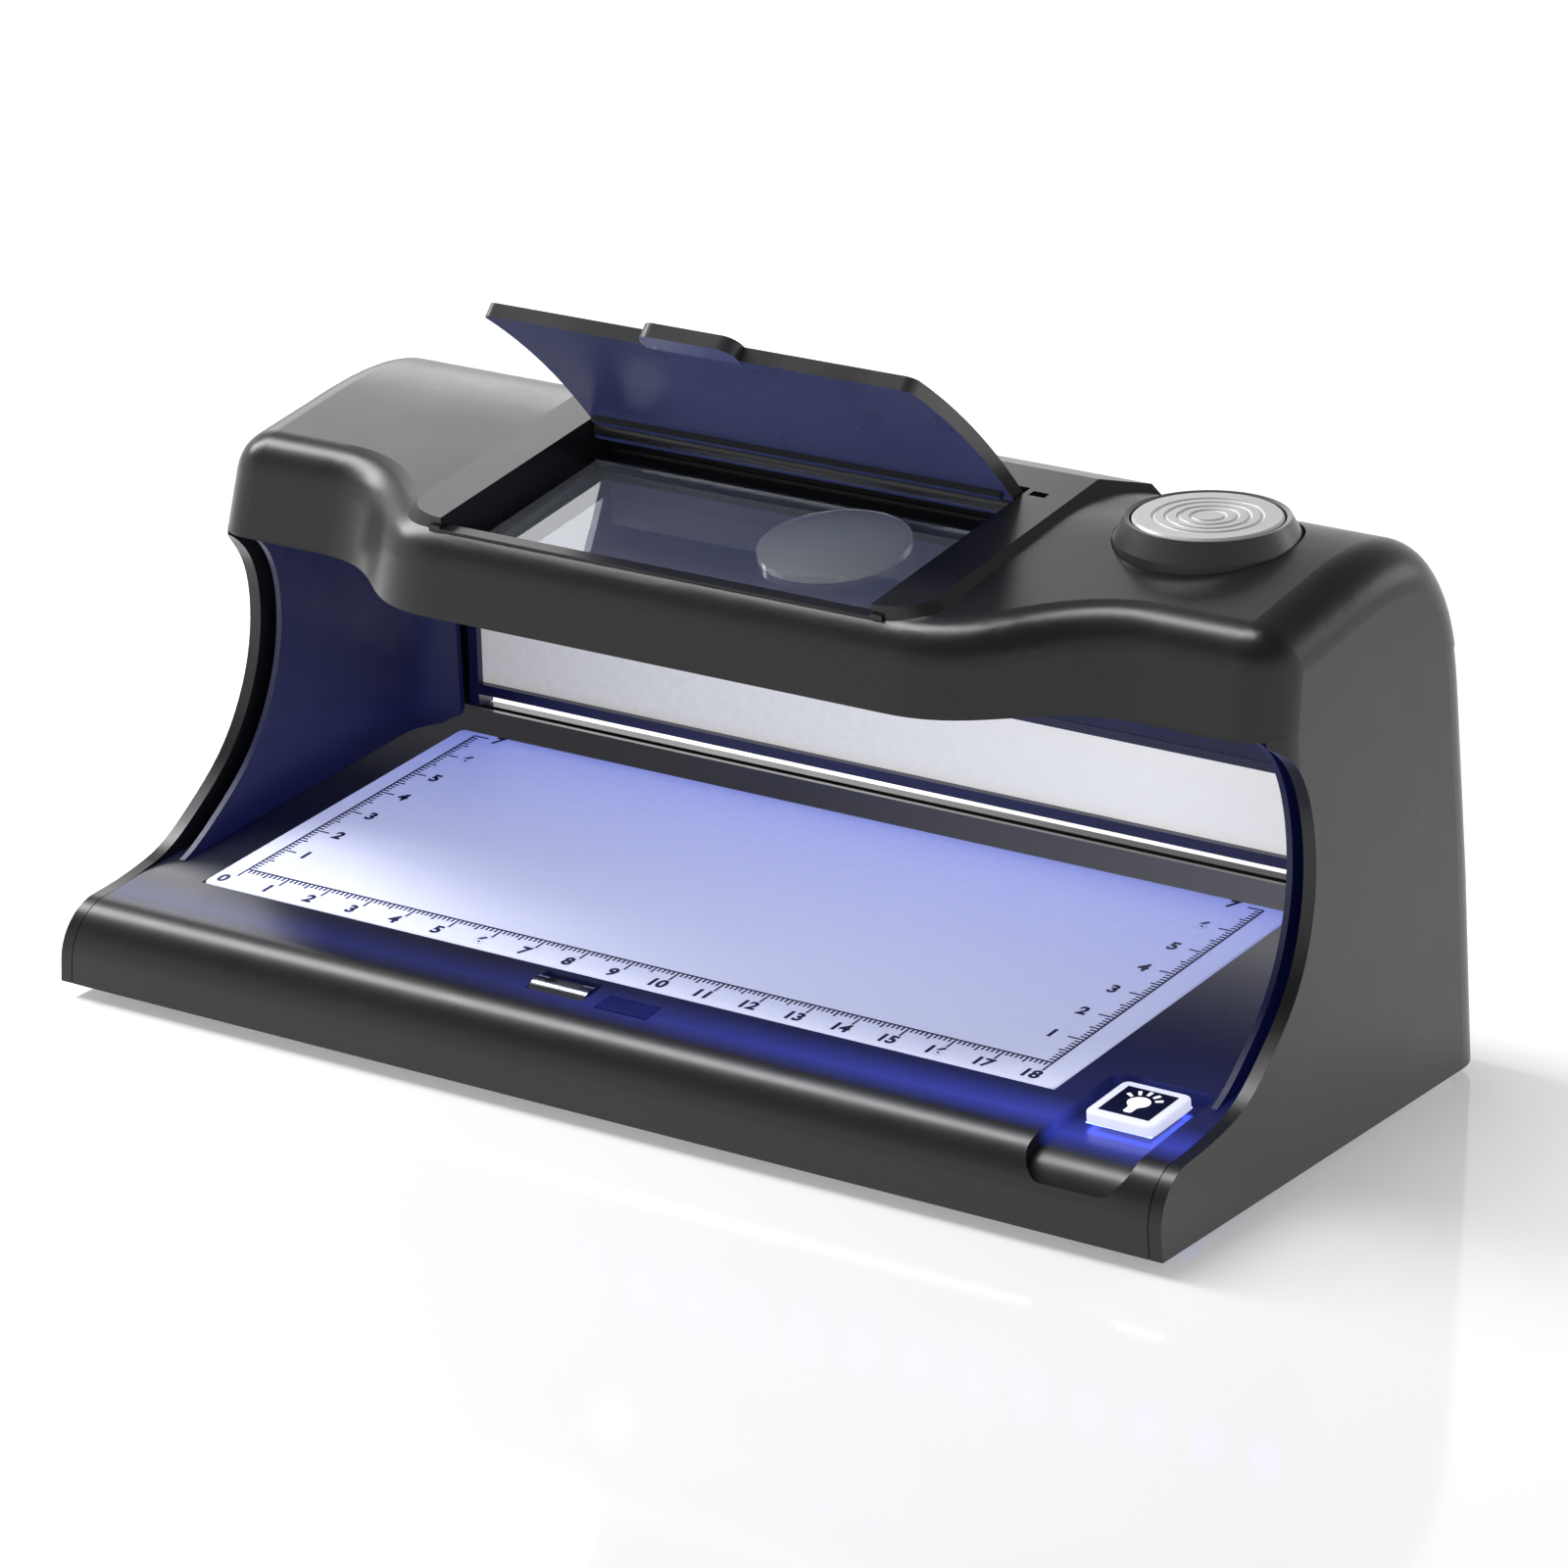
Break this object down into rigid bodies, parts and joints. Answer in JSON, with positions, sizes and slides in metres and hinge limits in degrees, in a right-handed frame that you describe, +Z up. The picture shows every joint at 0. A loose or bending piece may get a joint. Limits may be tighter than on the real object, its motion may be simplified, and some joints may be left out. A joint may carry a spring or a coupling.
{
  "type": "counterfeit banknote detector",
  "caption": "Table-top banknote tester: hooded viewing bay over a sloping lit deck with printed ruler, hinged lid over a magnifier window, push buttons.",
  "frame": {"origin": "bottom centre of the bounding box, at the underside of the feet", "axes": "+X to the right seen from the front, +Y from the open front towards the rear wall, +Z up"},
  "size_m": [0.243, 0.112, 0.1353],
  "materials": {
    "case_shell": "satin charcoal",
    "base_shell": "satin charcoal",
    "cover": "fine grained black",
    "liner": "deep blue, matte",
    "ceiling": "matte black",
    "window_frame": "dark blue, matte",
    "reflector": "pale grey, translucent",
    "diffuser": "opal diffuser with printed ruler",
    "guide": "clear acrylic",
    "board_white": "white solder mask",
    "white_led": "moulded LED packages",
    "board_green": "green solder mask",
    "uv_led": "glowing violet-blue",
    "lens_frame": "matte black",
    "lens": "clear, bevelled",
    "loupe": "clear, domed",
    "lid": "semi-gloss black",
    "pin": "turned steel",
    "bezel": "satin charcoal",
    "ring_cap": "satin silver grey",
    "switch": "black moulded",
    "plunger": "coloured moulded",
    "light_cap": "glowing opal white",
    "icon_panel": "dark window with a plain bulb sign",
    "parts": "moulded components",
    "head": "polished metal",
    "bracket": "stamped sheet",
    "sensor_window": "smoked blue",
    "foot": "soft black",
    "screw": "blackened steel",
    "lead": "black insulation"
  },
  "bodies": {
    "case": {"upper_case": "case_shell", "base_case": "base_shell", "bottom_cover": "cover", "bay_liner": "liner", "bay_ceiling": "ceiling", "rear_window_frame": "window_frame", "rear_reflector": "reflector", "light_table": "diffuser", "light_guide": "guide", "backlight_board": "board_white", "backlight_leds": "white_led", "uv_board_front": "board_green", "uv_board_rear": "board_green", "uv_leds": "uv_led", "lens_frame": "lens_frame", "main_lens": "lens", "loupe_lens": "loupe", "ring_bezel": "bezel", "ring_switch": "switch", "top_board": "board_green", "light_switch": "switch", "front_board": "board_green", "main_board": "board_green", "board_parts": "parts", "buzzer": "switch", "magnetic_head": "head", "head_bracket": "bracket", "sensor_window": "sensor_window", "sensor_board": "board_green", "dc_inlet": "switch", "dc_inlet_pin": "pin", "feet": "foot", "case_screws": "screw", "wiring": "lead"},
    "lid": {"lid": "lid", "lid_pins": "pin"},
    "ring_button": {"ring_cap": "ring_cap", "ring_plunger": "plunger"},
    "light_button": {"light_cap": "light_cap", "light_icon_panel": "icon_panel", "light_plunger": "plunger"}
  },
  "joints": [
    {"name": "lid_hinge", "type": "hinge", "parent": "case", "child": "lid", "pos_m": [-0.004, 0.02292, 0.10057], "axis": [-1, 0, 0], "range_deg": [-48.5, 38]},
    {"name": "ring_press", "type": "slide", "parent": "case", "child": "ring_button", "axis": [0, 0, -1], "range_m": [0, 0.001], "stiffness_N_per_m": 600, "springref_m": -0.0004},
    {"name": "light_press", "type": "slide", "parent": "case", "child": "light_button", "axis": [0, 0.0732, -0.9973], "range_m": [0, 0.0007], "stiffness_N_per_m": 600, "springref_m": -0.0004}
  ]
}
